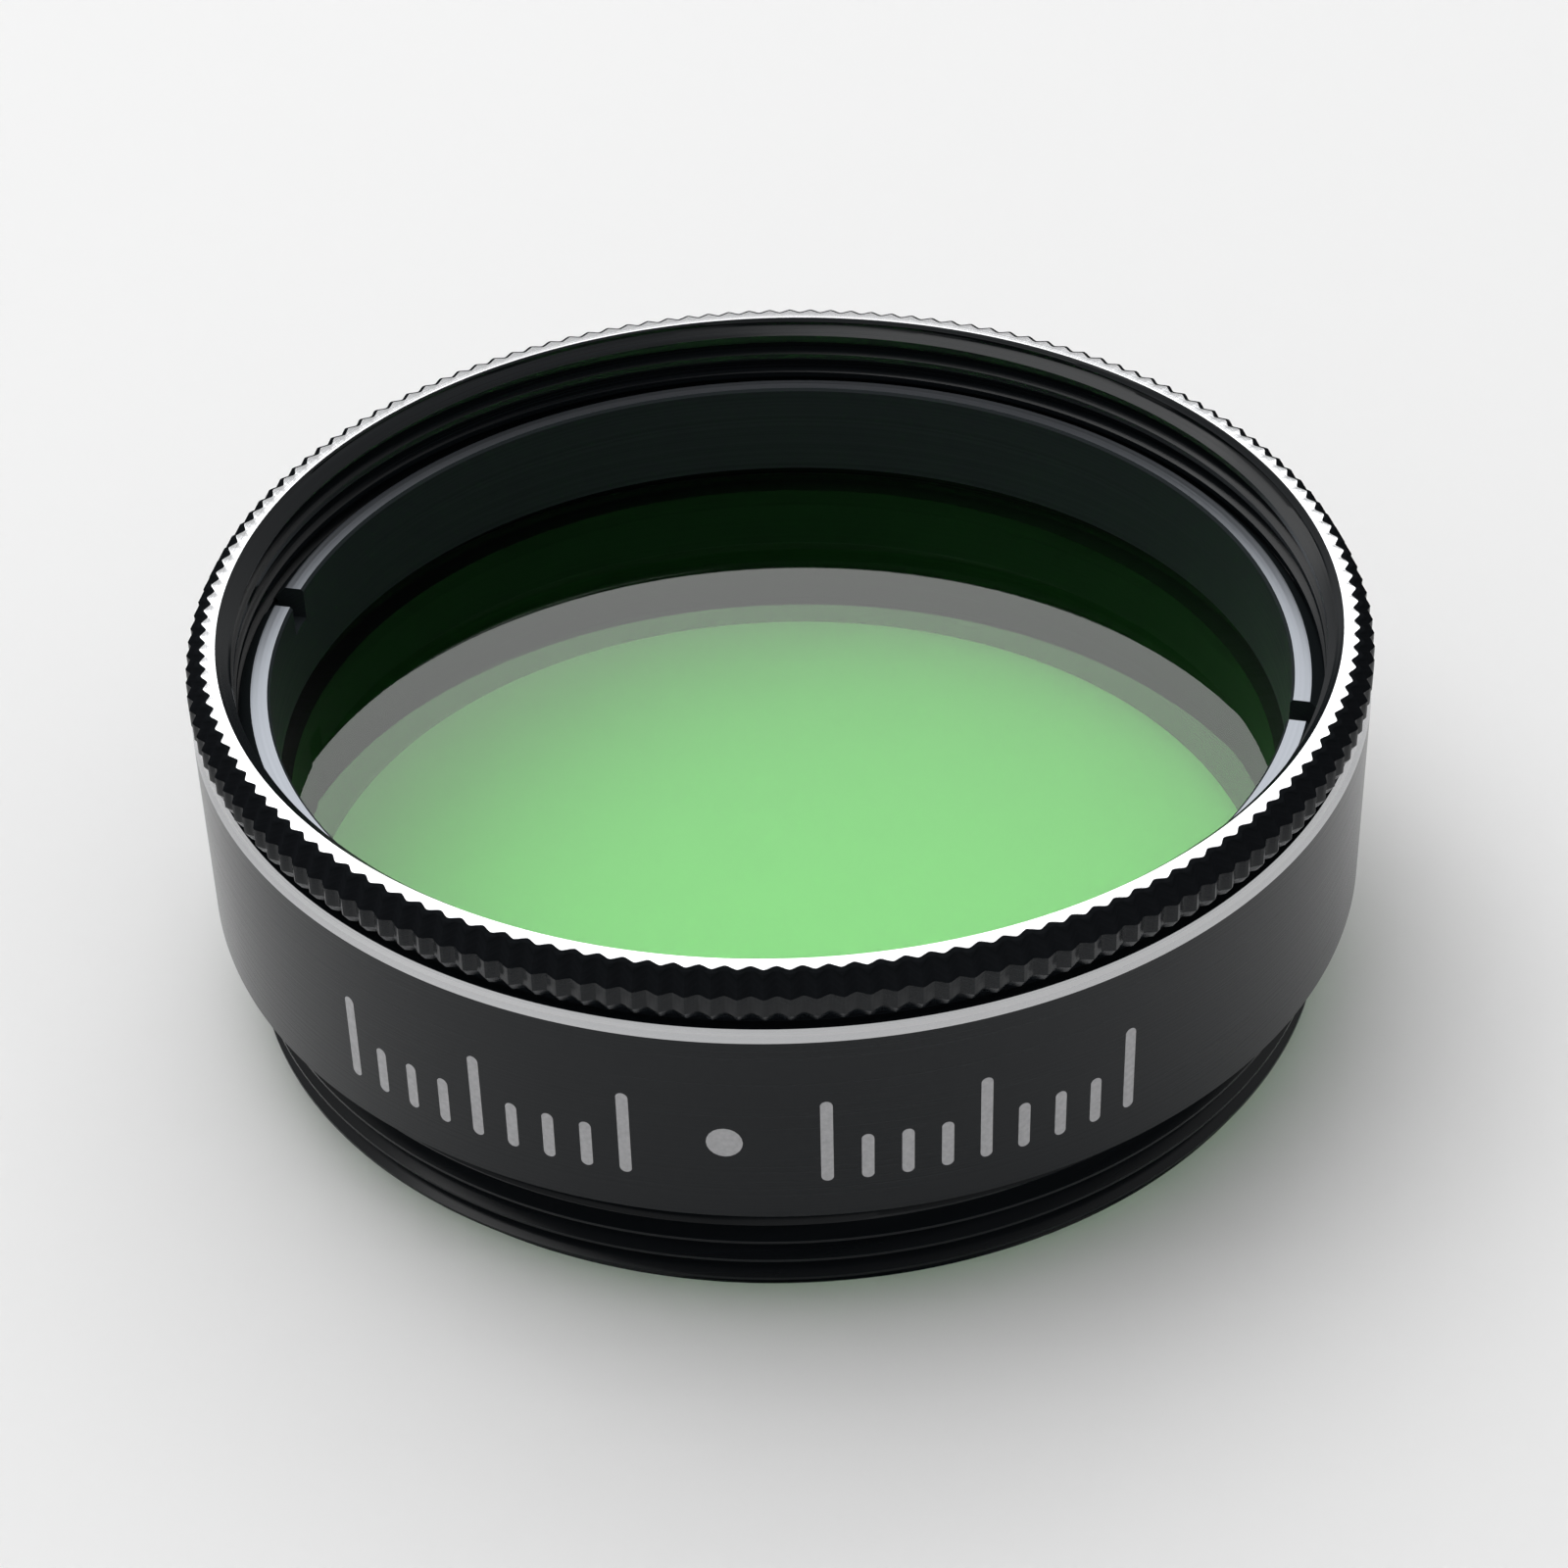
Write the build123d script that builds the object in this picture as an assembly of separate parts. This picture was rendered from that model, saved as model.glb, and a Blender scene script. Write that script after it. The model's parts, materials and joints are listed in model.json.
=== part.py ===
from build123d import *
from math import cos, pi, sin
import os

# Screw-in eyepiece filter: a cell turned in one piece, a glass disc and a threaded ring that holds it.
# Millimetres, +Z up. The origin is at the middle of the threaded end that the filter stands on, and Z is
# the optical axis.

# Standard thread of the filter, cut on the lower end and repeated in the mouth, so that filters stack
thread_d = 28.5
thread_pitch = 0.6
female_height_share = 0.5413

# Cell, outside
shoulder_width = 0.85
barrel_height = 7.3
stub_height = 3.2
stub_lead_chamfer = 0.3
shoulder_edge_break = 0.12
relief_width = 1.0
relief_depth = 0.38

# Straight knurl round the top of the barrel. Its shallow teeth also run over the bevels at both its ends
knurl_teeth = 158
knurl_height = 1.28
knurl_depth = 0.15
knurl_shoulder_run = 0.13
knurl_shoulder_drop = 0.04
knurl_top_bevel_drop = 0.55
knurl_bottom_bevel_run = 0.16
knurl_bottom_bevel_rise = 0.24

# Turned groove and bright bevel under the knurl
groove_depth = 0.5
groove_width = 0.32
bright_bevel = 0.23

# Cell, inside
mouth_clearance = 0.05
land_width = 0.39
seat_width = 0.85
pocket_depth = 1.1
bore_edge_break = 0.12

# Glass disc and the ring that holds it
glass_thickness = 1.5
glass_thread_clearance = 0.225
glass_pocket_clearance = 0.05
glass_bevel = 0.2
ring_wall = 0.97
ring_height = 2.65
ring_clearance = 0.02
ring_top_chamfer = 0.48
ring_bottom_chamfer = 0.2
slot_width = 0.85
slot_depth = 0.9
slot_angle = -14.0

# Depth from the mouth down to the top of the ring, and how far the engaged turns reach above the ring
ring_top_depth = 1.65
engaged_turns_over = 0.15

# Radii and heights that follow from the sizes above. The threads are plain cylinders here. A free thread
# is at its crests: the male one, and the female one inwards by its share of the pitch. Where the ring is
# screwed into the cell, both are halfway up the turns, where one thread fills the gaps of the other.
thread_r = thread_d / 2
barrel_r = thread_r + shoulder_width
bore_r = thread_r - female_height_share * thread_pitch
engaged_r = (thread_r + bore_r) / 2
mouth_r = thread_r + mouth_clearance
land_r = mouth_r + land_width
glass_r = bore_r - glass_thread_clearance
pocket_r = glass_r + glass_pocket_clearance
seat_bore_r = pocket_r - seat_width
ring_outer_r = engaged_r - ring_clearance
ring_inner_r = ring_outer_r - ring_wall
groove_r = barrel_r - groove_depth

cell_top = stub_height + barrel_height
ring_top = cell_top - ring_top_depth
engaged_top = ring_top + engaged_turns_over
glass_top = ring_top - ring_height
seat_z = glass_top - glass_thickness
pocket_top = seat_z + pocket_depth
knurl_bottom = cell_top - knurl_height
ledge_z = knurl_bottom - groove_width


def turned(points):
    """Turn a closed outline of (radius, height) points about the optical axis."""
    outline = make_face(Polyline(*[(r, 0, z) for r, z in points], close=True))
    return revolve(outline, Axis.Z)


def star(crest_r, z):
    """Outline of the teeth at one height. Its valleys lie in proportion, so every flank is flat."""
    valley_r = crest_r * (1 - knurl_depth / barrel_r)
    corners = []
    for i in range(2 * knurl_teeth):
        r = crest_r if i % 2 else valley_r
        turn = pi * i / knurl_teeth
        corners.append((r * cos(turn), r * sin(turn), z))
    return make_face(Polyline(*corners, close=True))


def make_knurl():
    """Knurled band: the teeth follow the crest radius down from the land to the groove."""
    crests = [
        (barrel_r - knurl_bottom_bevel_run, knurl_bottom),
        (barrel_r, knurl_bottom + knurl_bottom_bevel_rise),
        (barrel_r, cell_top - knurl_top_bevel_drop),
        (land_r + knurl_shoulder_run, cell_top - knurl_shoulder_drop),
        (land_r, cell_top),
    ]
    return loft([star(r, z) for r, z in crests], ruled=True)


def make_cell():
    """Cell: the knurled band on top of the turned body, both bored through."""
    outside = [
        (thread_r - stub_lead_chamfer, 0),
        (thread_r, stub_lead_chamfer),
        (thread_r, stub_height - relief_width),
        (thread_r - relief_depth, stub_height - relief_width + relief_depth),
        (thread_r - relief_depth, stub_height - relief_depth),
        (thread_r, stub_height),
        (barrel_r - shoulder_edge_break, stub_height),
        (barrel_r, stub_height + shoulder_edge_break),
        (barrel_r, ledge_z - bright_bevel),
        (barrel_r - bright_bevel, ledge_z),
        (groove_r, ledge_z),
        (groove_r, knurl_bottom),
    ]
    inside = [
        (mouth_r, cell_top),
        (bore_r, cell_top - (mouth_r - bore_r)),
        (bore_r, engaged_top),
        (engaged_r, engaged_top),
        (engaged_r, pocket_top),
        (pocket_r, pocket_top),
        (pocket_r, seat_z),
        (seat_bore_r, seat_z),
        (seat_bore_r, bore_edge_break),
        (seat_bore_r + bore_edge_break, 0),
    ]
    body = turned([(0, 0)] + outside + [(0, knurl_bottom)]) + make_knurl()
    return body - turned([(0, cell_top)] + inside + [(0, 0)])


def make_glass():
    """Glass disc, bevelled round both faces, lying on the seat."""
    return turned([
        (0, seat_z),
        (glass_r - glass_bevel, seat_z),
        (glass_r, seat_z + glass_bevel),
        (glass_r, glass_top - glass_bevel),
        (glass_r - glass_bevel, glass_top),
        (0, glass_top),
    ])


def make_ring():
    """Threaded ring down on the glass, with two spanner slots across its top."""
    ring = turned([
        (ring_inner_r, glass_top),
        (ring_outer_r - ring_bottom_chamfer, glass_top),
        (ring_outer_r, glass_top + ring_bottom_chamfer),
        (ring_outer_r, ring_top - ring_top_chamfer),
        (ring_outer_r - ring_top_chamfer, ring_top),
        (ring_inner_r, ring_top),
    ])
    slots = Pos(0, 0, ring_top) * Box(2 * barrel_r, slot_width, 2 * slot_depth)
    return ring - Rot(0, 0, slot_angle) * slots


os.makedirs("parts", exist_ok=True)
export_step(make_cell(), "parts/filter_cell.step")
export_step(make_glass(), "parts/filter_glass.step")
export_step(make_ring(), "parts/retaining_ring.step")
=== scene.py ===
import bmesh
import bpy
import json
from math import ceil, cos, floor, pi, radians, sin, sqrt
from mathutils import Matrix, Vector


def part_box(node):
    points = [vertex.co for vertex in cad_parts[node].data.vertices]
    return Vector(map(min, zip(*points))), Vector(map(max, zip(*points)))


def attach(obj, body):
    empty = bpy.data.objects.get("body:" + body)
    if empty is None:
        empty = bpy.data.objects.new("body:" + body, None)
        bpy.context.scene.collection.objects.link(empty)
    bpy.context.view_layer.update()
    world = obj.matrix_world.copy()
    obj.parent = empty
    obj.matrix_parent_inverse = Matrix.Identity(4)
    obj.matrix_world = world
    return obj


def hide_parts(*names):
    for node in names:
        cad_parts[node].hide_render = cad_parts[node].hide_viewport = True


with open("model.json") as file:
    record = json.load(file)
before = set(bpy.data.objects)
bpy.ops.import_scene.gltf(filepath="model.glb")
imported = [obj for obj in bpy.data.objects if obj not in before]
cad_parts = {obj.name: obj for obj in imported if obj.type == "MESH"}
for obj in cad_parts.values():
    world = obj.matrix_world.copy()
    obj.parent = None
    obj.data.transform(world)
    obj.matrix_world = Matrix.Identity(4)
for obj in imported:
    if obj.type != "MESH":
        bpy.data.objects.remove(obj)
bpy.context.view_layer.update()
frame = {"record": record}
mm = 0.001

# The cell: one piece of aluminium, turned, given a straight knurl, anodised black and then skimmed bright
# on the land round its mouth and on the bevel under the groove. A male thread below screws into an eyepiece,
# and the same thread is cut in the mouth, where it takes the ring and then the next filter.
cell_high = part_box("filter_cell")[1]
glass_low, glass_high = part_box("filter_glass")
ring_low, ring_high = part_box("retaining_ring")
mounts = {mount["name"]: mount for mount in frame["record"]["mounts"]}

# Every second plain column stands under the middle of a tooth, so that toothed and plain rows join evenly
plain_columns = 316
tooth_count = 158
columns_per_tooth = 12
joined_within = 1e-7
sharp_edge = radians(25)

pitch = 0.6 * mm
male_depth = 0.6134 * pitch
female_depth = 0.5413 * pitch

# Half the width of a thread's flats at its large and at its small radius, as a share of the pitch
outer_flat = 1 / 16
male_inner_flat = 1 / 12
female_inner_flat = 1 / 8

thread_r = mounts["male_thread"]["dims"]["r_mm"] * mm
crest_r = thread_r - female_depth
barrel_r = cell_high.x
top = cell_high.z
stub_top = mounts["shoulder"]["pos_m"][2]
relief_width = 1.0 * mm
relief_depth = 0.38 * mm
foot_chamfer = 0.3 * mm
shoulder_break = 0.12 * mm

knurl_depth = 0.15 * mm
knurl_bottom = top - 1.28 * mm
bottom_bevel_r = barrel_r - 0.16 * mm
bottom_bevel_z = knurl_bottom + 0.24 * mm
top_bevel_z = top - 0.55 * mm
groove_r = barrel_r - 0.5 * mm
ledge_z = knurl_bottom - 0.32 * mm
bright_bevel = 0.23 * mm
mouth_r = thread_r + 0.05 * mm
land_r = mouth_r + 0.39 * mm
knurl_shoulder_r = land_r + 0.13 * mm
knurl_shoulder_z = top - 0.04 * mm

glass_r = glass_high.x
pocket_r = glass_r + 0.05 * mm
pocket_top = glass_low.z + 1.1 * mm
seat_bore_r = pocket_r - 0.85 * mm
bore_break = 0.12 * mm


def at(radius, turn, height):
    """The point at a radius, a share of a full turn and a height."""
    return Vector((radius * cos(2 * pi * turn), radius * sin(2 * pi * turn), height))


def hoop(radius, height):
    """A round row of points. The last one lies on the first, and they are merged later."""
    return [at(radius, i / plain_columns, height) for i in range(plain_columns + 1)]


def wall_row(wall, height):
    """A level row on a wall whose radius changes round the axis."""
    turns = [i / plain_columns for i in range(plain_columns + 1)]
    return [at(wall(turn, height), turn, height) for turn in turns]


def share_of_depth(turn, height, inner_flat):
    """How deep a right-hand thread is there: 0 on the flat at its large radius, 1 at its small radius."""
    phase = (height / pitch - turn) % 1
    from_middle = min(phase, 1 - phase)
    return min(max((from_middle - outer_flat) / (0.5 - inner_flat - outer_flat), 0), 1)


def male_wall(turn, height):
    """Radius of an outside thread at that place."""
    return thread_r - male_depth * share_of_depth(turn, height, male_inner_flat)


def female_wall(turn, height):
    """Radius of an inside thread at that place."""
    return thread_r - female_depth * share_of_depth(turn, height, female_inner_flat)


def thread_rows(low, high, wall, inner_flat):
    """Rows that climb with the thread, one on each edge of its flats, held between two heights."""
    edges = (-outer_flat, outer_flat, 0.5 - inner_flat, 0.5 + inner_flat)
    first = floor(low / pitch - 1 + outer_flat)
    last = ceil(high / pitch)
    rows = []
    for turn in range(first, last + 1):
        for edge in edges:
            row = []
            for i in range(plain_columns + 1):
                share = i / plain_columns
                height = min(max((turn + edge + share) * pitch, low), high)
                row.append(at(wall(share, height), share, height))
            rows.append(row)
    return rows


def level_rows(low, high, wall, steps):
    """Level rows from one height to another on a wall that changes round the axis."""
    return [wall_row(wall, low + (high - low) * i / steps) for i in range(steps + 1)]


def skin(mesh_name, bands, finishes):
    """Joins rows of points into one skin, closed from the last row to the first. A band is a list of rows
    and the finish of the faces that lead to them."""
    rows = [(row, finish) for band, finish in bands for row in band]
    builder = bmesh.new()
    made = [[builder.verts.new(point) for point in row] for row, finish in rows]
    for index, (row, finish) in enumerate(rows):
        below, here = made[index - 1], made[index]
        fine, coarse = (below, here) if len(below) > len(here) else (here, below)
        step = (len(fine) - 1) // (len(coarse) - 1)
        for i in range(len(coarse) - 1):
            corners = [coarse[i], coarse[i + 1]] + fine[i * step:(i + 1) * step + 1][::-1]
            builder.faces.new(corners).material_index = finish
    bmesh.ops.remove_doubles(builder, verts=builder.verts, dist=joined_within)
    bmesh.ops.recalc_face_normals(builder, faces=builder.faces)
    mesh = bpy.data.meshes.new(mesh_name)
    builder.to_mesh(mesh)
    builder.free()
    mesh.shade_smooth()
    mesh.set_sharp_from_angle(angle=sharp_edge)
    for finish in finishes:
        mesh.materials.append(finish)
    return mesh


def add_piece(piece_name, mesh, node):
    """Puts a mesh in the scene as a piece that stands for a node of the model, if it is given one."""
    piece = bpy.data.objects.new(piece_name, mesh)
    bpy.context.scene.collection.objects.link(piece)
    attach(piece, "root")
    if node:
        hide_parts(node)
    return piece


def calculate(tree, operation, *values):
    """A Math node. Each value is a number or the output that feeds it."""
    step = tree.nodes.new("ShaderNodeMath")
    step.operation = operation
    for socket, value in zip(step.inputs, values):
        if isinstance(value, (int, float)):
            socket.default_value = value
        else:
            tree.links.new(value, socket)
    return step.outputs[0]


def spread(tree, value, low, high, new_low, new_high):
    """A Map Range node, held at both ends."""
    step = tree.nodes.new("ShaderNodeMapRange")
    tree.links.new(value, step.inputs["Value"])
    for name, number in (("From Min", low), ("From Max", high), ("To Min", new_low), ("To Max", new_high)):
        step.inputs[name].default_value = number
    return step.outputs["Result"]


def blend_colours(tree, share, first, second):
    """A colour between two, by a share. A Mix node has its colours at inputs 6 and 7 and output 2."""
    step = tree.nodes.new("ShaderNodeMix")
    step.data_type = "RGBA"
    tree.links.new(share, step.inputs["Factor"])
    step.inputs[6].default_value = (*first, 1)
    step.inputs[7].default_value = (*second, 1)
    return step.outputs[2]


# How fast the tool's rings follow each other along the axis and across a face. The two differ, so bevels
# get rings too. A slow drift makes them waver.
share_along = 1.27
share_across = 0.83
drift_scale = 90
drift_reach = 0.02 * mm
drift_in_tone = 0.5


def lathe_marks_group():
    """Fine rings left by the tool, at a scale in marks for each millimetre along the cut."""
    group = bpy.data.node_groups.new("lathe_marks", "ShaderNodeTree")
    group.interface.new_socket("Marks", in_out="INPUT", socket_type="NodeSocketFloat")
    group.interface.new_socket("Height", in_out="OUTPUT", socket_type="NodeSocketFloat")
    group.interface.new_socket("Tone", in_out="OUTPUT", socket_type="NodeSocketFloat")
    given = group.nodes.new("NodeGroupInput")
    result = group.nodes.new("NodeGroupOutput")
    place = group.nodes.new("ShaderNodeTexCoord").outputs["Object"]
    parts = group.nodes.new("ShaderNodeSeparateXYZ")
    group.links.new(place, parts.inputs[0])
    x_squared = calculate(group, "MULTIPLY", parts.outputs["X"], parts.outputs["X"])
    y_squared = calculate(group, "MULTIPLY", parts.outputs["Y"], parts.outputs["Y"])
    radius = calculate(group, "SQRT", calculate(group, "ADD", x_squared, y_squared))
    across = calculate(group, "MULTIPLY", radius, share_across)
    cut = calculate(group, "MULTIPLY_ADD", parts.outputs["Z"], share_along, across)
    drift = group.nodes.new("ShaderNodeTexNoise")
    drift.inputs["Scale"].default_value = drift_scale
    drift.inputs["Detail"].default_value = 1
    group.links.new(place, drift.inputs["Vector"])
    wavered = calculate(group, "MULTIPLY_ADD", drift.outputs[0], drift_reach, cut)
    marks = group.nodes.new("ShaderNodeTexNoise")
    marks.noise_dimensions = "1D"
    marks.inputs["Detail"].default_value = 2
    marks.inputs["Scale"].default_value = 1
    marks_per_metre = calculate(group, "MULTIPLY", given.outputs["Marks"], 1 / mm)
    group.links.new(calculate(group, "MULTIPLY", wavered, marks_per_metre), marks.inputs["W"])
    tone = calculate(group, "MULTIPLY_ADD", drift.outputs[0], drift_in_tone, marks.outputs[0])
    group.links.new(marks.outputs[0], result.inputs["Height"])
    group.links.new(tone, result.inputs["Tone"])
    return group


lathe_marks = lathe_marks_group()


def new_finish(finish_name):
    """A material with its Principled shader, ready for its own nodes."""
    material = bpy.data.materials.new(finish_name)
    material.use_nodes = True
    return material, material.node_tree, material.node_tree.nodes["Principled BSDF"]


# The tones that the rings reach at their darkest and lightest
low_tone = 0.5
high_tone = 1.1


def use_lathe_marks(tree, shader, marks, depth):
    """Puts the tool's rings in a finish as bump, and gives their tone for its colour and roughness."""
    rings = tree.nodes.new("ShaderNodeGroup")
    rings.node_tree = lathe_marks
    rings.inputs["Marks"].default_value = marks
    bump = tree.nodes.new("ShaderNodeBump")
    bump.inputs["Distance"].default_value = depth
    tree.links.new(rings.outputs["Height"], bump.inputs["Height"])
    tree.links.new(bump.outputs[0], shader.inputs["Normal"])
    return rings.outputs["Tone"]


def colour_by_tone(tree, shader, tone, dark, light, smooth, rough):
    """Takes the colour and the roughness from the tone of the rings, between two of each."""
    colour = blend_colours(tree, spread(tree, tone, low_tone, high_tone, 0, 1), dark, light)
    tree.links.new(colour, shader.inputs["Base Color"])
    tree.links.new(spread(tree, tone, low_tone, high_tone, smooth, rough), shader.inputs["Roughness"])


def black_oxide(finish_name, marks, depth, dark, light, smooth, rough, specular):
    """Black oxide with the tool's rings under it."""
    material, tree, shader = new_finish(finish_name)
    tone = use_lathe_marks(tree, shader, marks, depth)
    colour_by_tone(tree, shader, tone, dark, light, smooth, rough)
    shader.inputs["Specular IOR Level"].default_value = specular
    return material


def satin_black():
    """The outside, which gleams where it is seen at a low angle."""
    return black_oxide("satin_black", marks=9, depth=0.003 * mm, smooth=0.20, rough=0.28, specular=0.25,
                       dark=(0.004, 0.0055, 0.007), light=(0.008, 0.010, 0.012))


def pressed_black():
    """The bevel that the knurling wheel has left rough."""
    return black_oxide("pressed_black", marks=9, depth=0.003 * mm, smooth=0.55, rough=0.65, specular=0.0,
                       dark=(0.006, 0.007, 0.008), light=(0.010, 0.011, 0.013))


def dull_black():
    """The inside, left dull to keep glare down."""
    return black_oxide("dull_black", marks=7, depth=0.002 * mm, smooth=0.50, rough=0.62, specular=0.06,
                       dark=(0.017, 0.022, 0.024), light=(0.025, 0.030, 0.034))


def bright_cut():
    """Bare aluminium straight from the tool."""
    material, tree, shader = new_finish("bright_cut")
    tone = use_lathe_marks(tree, shader, marks=14, depth=0.003 * mm)
    colour_by_tone(tree, shader, tone, smooth=0.20, rough=0.32,
                   dark=(0.80, 0.81, 0.83), light=(0.90, 0.90, 0.91))
    shader.inputs["Metallic"].default_value = 1
    return material


def knurl_row(crest_r, height):
    """A level row round all the slightly rounded teeth, in proportion to their crest radius."""
    columns = tooth_count * columns_per_tooth
    row = []
    for i in range(columns + 1):
        share = i / columns_per_tooth % 1
        straight = 1 - 2 * min(share, 1 - share)
        rounded = 0.5 + 0.5 * cos(2 * pi * share)
        depth = knurl_depth * (straight + rounded) / 2
        row.append(at(crest_r * (1 - depth / barrel_r), i / columns, height))
    return row


def stub_wall(turn, height):
    """The male thread, cut down by the chamfer at the foot and by the relief under the shoulder."""
    chamfer = thread_r - foot_chamfer + height
    relief = thread_r - max(height - (stub_top - relief_width), 0)
    return max(min(male_wall(turn, height), chamfer, relief), thread_r - relief_depth)


def mouth_wall(turn, height):
    """The female thread, opened by the chamfer of the mouth."""
    return max(female_wall(turn, height), mouth_r - (top - height))


inside_finish = dull_black()
cell_finishes = [satin_black(), bright_cut(), inside_finish, pressed_black()]
black, bright, dull, pressed = 0, 1, 2, 3
mouth_low = top - (mouth_r - crest_r)
relief_low = stub_top - relief_width
relief_high = stub_top - relief_depth
outside_bands = [
    ([hoop(seat_bore_r + bore_break, 0)], dull),
    (level_rows(0, foot_chamfer, stub_wall, 6), black),
    (thread_rows(foot_chamfer, relief_low, male_wall, male_inner_flat), black),
    (level_rows(relief_low, relief_low + relief_depth, stub_wall, 6), black),
    ([hoop(thread_r - relief_depth, relief_high)], black),
    ([hoop(thread_r, stub_top)], black),
    ([hoop(barrel_r - shoulder_break, stub_top)], black),
    ([hoop(barrel_r, stub_top + shoulder_break)], black),
    ([hoop(barrel_r, ledge_z - bright_bevel)], black),
    ([hoop(barrel_r - bright_bevel, ledge_z)], bright),
    ([hoop(groove_r, ledge_z)], black),
    ([hoop(groove_r, knurl_bottom)], black),
    ([knurl_row(bottom_bevel_r, knurl_bottom)], black),
    ([knurl_row(barrel_r, bottom_bevel_z)], black),
    ([knurl_row(barrel_r, top_bevel_z)], black),
    ([knurl_row(knurl_shoulder_r, knurl_shoulder_z)], pressed),
    ([knurl_row(land_r, top)], pressed),
]
inside_bands = [
    ([hoop(mouth_r, top)], bright),
    (level_rows(mouth_low, top, mouth_wall, 8)[::-1], black),
    (thread_rows(pocket_top, mouth_low, female_wall, female_inner_flat)[::-1], black),
    ([hoop(pocket_r, pocket_top)], dull),
    ([hoop(pocket_r, glass_low.z)], dull),
    ([hoop(seat_bore_r, glass_low.z)], dull),
    ([hoop(seat_bore_r, bore_break)], dull),
]
cell_mesh = skin("cell", outside_bands + inside_bands, cell_finishes)
add_piece("cell", cell_mesh, "filter_cell")

# The marks: a plain scale of strokes on both sides of one dot, cut shallow into the front of the barrel
# after anodising and left pale.
mark_width = 0.3 * mm
mark_proud = 0.004 * mm
mark_sunk = 0.03 * mm
mark_middle = -96.2
mark_centre_z = top - 4.86 * mm
long_stroke = 2.45 * mm
short_stroke = 1.35 * mm
long_every = 4
strokes_a_side = 9
first_stroke = 9
stroke_spacing = 3.6
dot_r = 0.43 * mm


def pale_engraving():
    """Matt pale grey of a marked stroke, a little uneven."""
    material, tree, shader = new_finish("pale_engraving")
    grain = tree.nodes.new("ShaderNodeTexNoise")
    grain.inputs["Scale"].default_value = 9000
    tree.links.new(tree.nodes.new("ShaderNodeTexCoord").outputs["Object"], grain.inputs["Vector"])
    colour = blend_colours(tree, grain.outputs[0], (0.30, 0.30, 0.31), (0.52, 0.52, 0.53))
    tree.links.new(colour, shader.inputs["Base Color"])
    shader.inputs["Roughness"].default_value = 0.55
    return material


def stroke_outline(half_width, half_height, steps=10):
    """A rounded upright stroke as (across, up) points. A dot is one with no straight part."""
    straight = half_height - half_width
    outline = []
    for i in range(2 * steps):
        angle = pi * i / steps
        up = half_width * sin(angle) + (straight if i < steps else -straight)
        outline.append((half_width * cos(angle), up))
    return outline


def add_mark(builder, azimuth, centre_z, half_width, half_height):
    """One mark wrapped on the barrel: its face, its back and the edge between them."""
    layers = []
    for radius in (barrel_r - mark_sunk, barrel_r + mark_proud):
        layer = []
        for across, up in stroke_outline(half_width, half_height):
            turn = azimuth / 360 + across / barrel_r / (2 * pi)
            layer.append(builder.verts.new(at(radius, turn, centre_z + up)))
        layers.append(layer)
    back, face = layers
    builder.faces.new(face)
    builder.faces.new(back[::-1])
    for i in range(len(face)):
        builder.faces.new((face[i - 1], back[i - 1], back[i], face[i]))


marks_builder = bmesh.new()
add_mark(marks_builder, mark_middle, mark_centre_z, dot_r, dot_r)
for side in (-1, 1):
    for stroke in range(strokes_a_side):
        height = long_stroke if stroke % long_every == 0 else short_stroke
        low_edge = mark_centre_z - long_stroke / 2
        azimuth = mark_middle + side * (first_stroke + stroke * stroke_spacing)
        add_mark(marks_builder, azimuth, low_edge + height / 2, mark_width / 2, height / 2)
bmesh.ops.recalc_face_normals(marks_builder, faces=marks_builder.faces)
marks_mesh = bpy.data.meshes.new("barrel_marks")
marks_builder.to_mesh(marks_mesh)
marks_builder.free()
marks_mesh.materials.append(pale_engraving())
add_piece("barrel_marks", marks_mesh, None)

# The glass: a flat disc dyed green in the mass, ground round its edge and bevelled on both faces. It drops
# through the thread on to the seat and lies there loose until the ring holds it.
glass_bevel = 0.2 * mm
glass_colour = (0.34, 0.74, 0.31)


def green_glass():
    """Clear dyed glass that also lets the lamps through to what is under it."""
    material, tree, shader = new_finish("green_glass")
    shader.inputs["Base Color"].default_value = (*glass_colour, 1)
    shader.inputs["Roughness"].default_value = 0
    shader.inputs["IOR"].default_value = 1.52
    shader.inputs["Transmission Weight"].default_value = 1
    passing = tree.nodes.new("ShaderNodeBsdfTransparent")
    passing.inputs["Color"].default_value = (*[sqrt(c) for c in glass_colour], 1)
    either = tree.nodes.new("ShaderNodeMixShader")
    light_path = tree.nodes.new("ShaderNodeLightPath")
    tree.links.new(light_path.outputs["Is Shadow Ray"], either.inputs[0])
    tree.links.new(shader.outputs[0], either.inputs[1])
    tree.links.new(passing.outputs[0], either.inputs[2])
    tree.links.new(either.outputs[0], tree.nodes["Material Output"].inputs["Surface"])
    return material


glass_rows = [
    hoop(0, glass_low.z),
    hoop(glass_r - glass_bevel, glass_low.z),
    hoop(glass_r, glass_low.z + glass_bevel),
    hoop(glass_r, glass_high.z - glass_bevel),
    hoop(glass_r - glass_bevel, glass_high.z),
    hoop(0, glass_high.z),
]
glass_mesh = skin("glass", [(glass_rows, 0)], [green_glass()])
add_piece("glass", glass_mesh, "filter_glass")

# The ring: aluminium, threaded outside, anodised black, with two slots across its top for a pin spanner. It
# is screwed down the mouth on to the glass and holds it against the seat.
ring_inner_r = 13.0976 * mm
ring_inner_break = 0.07 * mm
ring_play = 0.03 * mm
ring_top_r = 13.5876 * mm
ring_foot_r = 13.87 * mm
ring_chamfer = 0.2 * mm
ring_lead = 0.7 * mm
slot_width = 0.85 * mm
slot_depth = 0.9 * mm
slot_azimuth = -14


def ring_wall(turn, height):
    """The ring's own thread, cut down by the chamfers at its top and its foot."""
    upper = ring_top_r + (ring_high.z - height)
    lower = ring_foot_r + (height - ring_low.z)
    return min(male_wall(turn, height) - ring_play, upper, lower)


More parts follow.
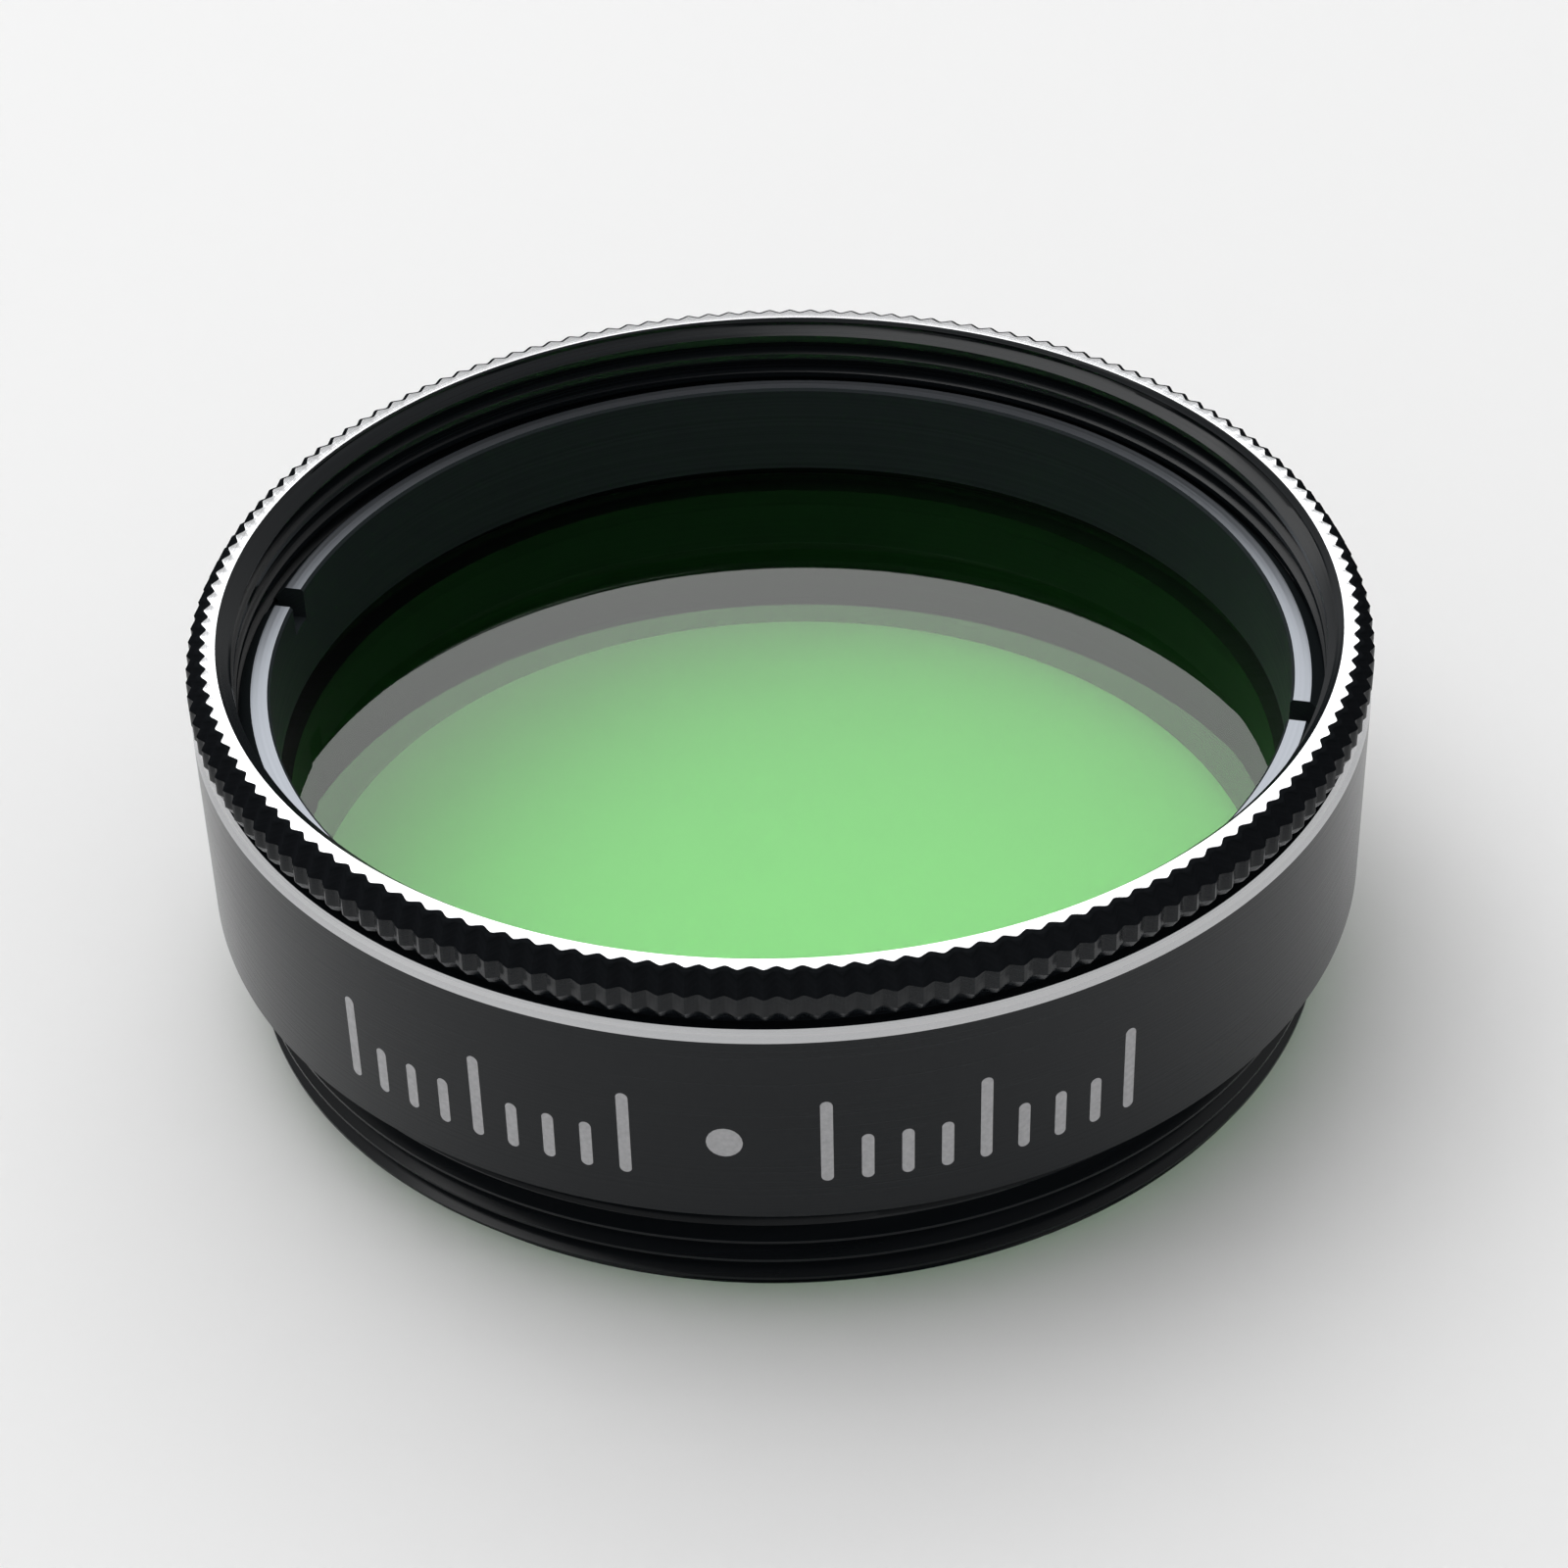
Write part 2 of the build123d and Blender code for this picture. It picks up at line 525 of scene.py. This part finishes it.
def ring_face():
    """Thin oxide over the fine cut of the ring's top, which lets the metal gleam through."""
    material, tree, shader = new_finish("ring_face")
    tone = use_lathe_marks(tree, shader, marks=16, depth=0.001 * mm)
    colour_by_tone(tree, shader, tone, smooth=0.34, rough=0.42,
                   dark=(0.30, 0.32, 0.35), light=(0.36, 0.38, 0.42))
    shader.inputs["Metallic"].default_value = 1
    return material


def cut_slots(piece):
    """Cuts the two slots with one bar laid across the top."""
    builder = bmesh.new()
    bmesh.ops.create_cube(builder, size=1)
    bar_size = Matrix.Diagonal((2 * thread_r, slot_width, 2 * slot_depth, 1))
    bar_place = Matrix.Translation((0, 0, ring_high.z)) @ Matrix.Rotation(radians(slot_azimuth), 4, "Z")
    builder.transform(bar_place @ bar_size)
    bar_mesh = bpy.data.meshes.new("slot_bar")
    builder.to_mesh(bar_mesh)
    builder.free()
    bar = bpy.data.objects.new("slot_bar", bar_mesh)
    bpy.context.scene.collection.objects.link(bar)
    cut = piece.modifiers.new("slots", "BOOLEAN")
    cut.operation = "DIFFERENCE"
    cut.solver = "EXACT"
    cut.object = bar
    seen = piece.evaluated_get(bpy.context.evaluated_depsgraph_get())
    slotted = bpy.data.meshes.new_from_object(seen)
    piece.modifiers.clear()
    piece.data = slotted
    bpy.data.objects.remove(bar)


ring_thread_low = ring_low.z + ring_chamfer
ring_thread_high = ring_high.z - ring_lead
ring_finishes = [inside_finish, ring_face()]
ring_dull, ring_bare = 0, 1
ring_bands = [
    ([hoop(ring_inner_r, ring_low.z)], ring_dull),
    (level_rows(ring_low.z, ring_thread_low, ring_wall, 4), ring_dull),
    (thread_rows(ring_thread_low, ring_thread_high, ring_wall, male_inner_flat), ring_dull),
    (level_rows(ring_thread_high, ring_high.z, ring_wall, 10), ring_dull),
    ([hoop(ring_inner_r + ring_inner_break, ring_high.z)], ring_bare),
    ([hoop(ring_inner_r, ring_high.z - ring_inner_break)], ring_dull),
]
ring_mesh = skin("ring", ring_bands, ring_finishes)
ring = add_piece("ring", ring_mesh, "retaining_ring")
cut_slots(ring)

# The stage: a plain pale floor that soaks up a little light, under an even sky and two soft lamps. The
# filter stands on it as it was photographed, and is seen from the same side and height.
floor_radius = 2
floor_sides = 128
floor_tone = 0.86
floor_soak = 6 * mm
sky_strength = 0.5
camera_place = Vector((0, -78.151, 63.634)) * mm
camera_target = Vector((0, 0, 4.6)) * mm
camera_right = Vector((0.99924742, -0.03739968, -0.01028907))

floor_builder = bmesh.new()
bmesh.ops.create_circle(floor_builder, cap_ends=True, segments=floor_sides, radius=floor_radius)
floor_mesh = bpy.data.meshes.new("floor")
floor_builder.to_mesh(floor_mesh)
floor_builder.free()
floor_finish, floor_tree, floor_shader = new_finish("pale_floor")
floor_shader.inputs["Base Color"].default_value = (floor_tone, floor_tone, floor_tone, 1)
floor_shader.inputs["Roughness"].default_value = 0.8
floor_shader.subsurface_method = "BURLEY"
floor_shader.inputs["Subsurface Weight"].default_value = 1
floor_shader.inputs["Subsurface Radius"].default_value = (1, 1, 1)
floor_shader.inputs["Subsurface Scale"].default_value = floor_soak
floor_mesh.materials.append(floor_finish)
floor_plane = bpy.data.objects.new("floor", floor_mesh)
bpy.context.scene.collection.objects.link(floor_plane)

world = bpy.data.worlds.new("studio")
bpy.context.scene.world = world
world.use_nodes = True
sky = world.node_tree.nodes["Background"]
sky.inputs["Color"].default_value = (1, 1, 1, 1)
sky.inputs["Strength"].default_value = sky_strength


def add_softbox(name, place, size, brightness):
    """A square lamp that looks at the filter. Brightness is the radiance of its face, where 1 is white."""
    lamp = bpy.data.lights.new(name, "AREA")
    lamp.shape = "RECTANGLE"
    lamp.size, lamp.size_y = size
    lamp.energy = brightness * pi * size[0] * size[1]
    holder = bpy.data.objects.new(name, lamp)
    holder.location = place
    holder.rotation_euler = (-Vector(place)).to_track_quat("-Z", "Y").to_euler()
    holder.visible_camera = False
    bpy.context.scene.collection.objects.link(holder)


add_softbox("rear_softbox", place=(-0.06, 0.50, 0.49), size=(0.80, 0.33), brightness=1.7)
add_softbox("top_softbox", place=(-0.25, 0.10, 0.70), size=(0.55, 0.55), brightness=2.6)

lens = bpy.data.cameras.new("camera")
lens.lens = 85
lens.clip_start = 1 * mm
camera = bpy.data.objects.new("camera", lens)
bpy.context.scene.collection.objects.link(camera)
forward = (camera_target - camera_place).normalized()
right = (camera_right - forward * camera_right.dot(forward)).normalized()
turned = Matrix((right, right.cross(forward), -forward)).transposed()
camera.matrix_world = Matrix.Translation(camera_place) @ turned.to_4x4()
bpy.context.scene.camera = camera
bpy.context.scene.view_settings.view_transform = "Standard"
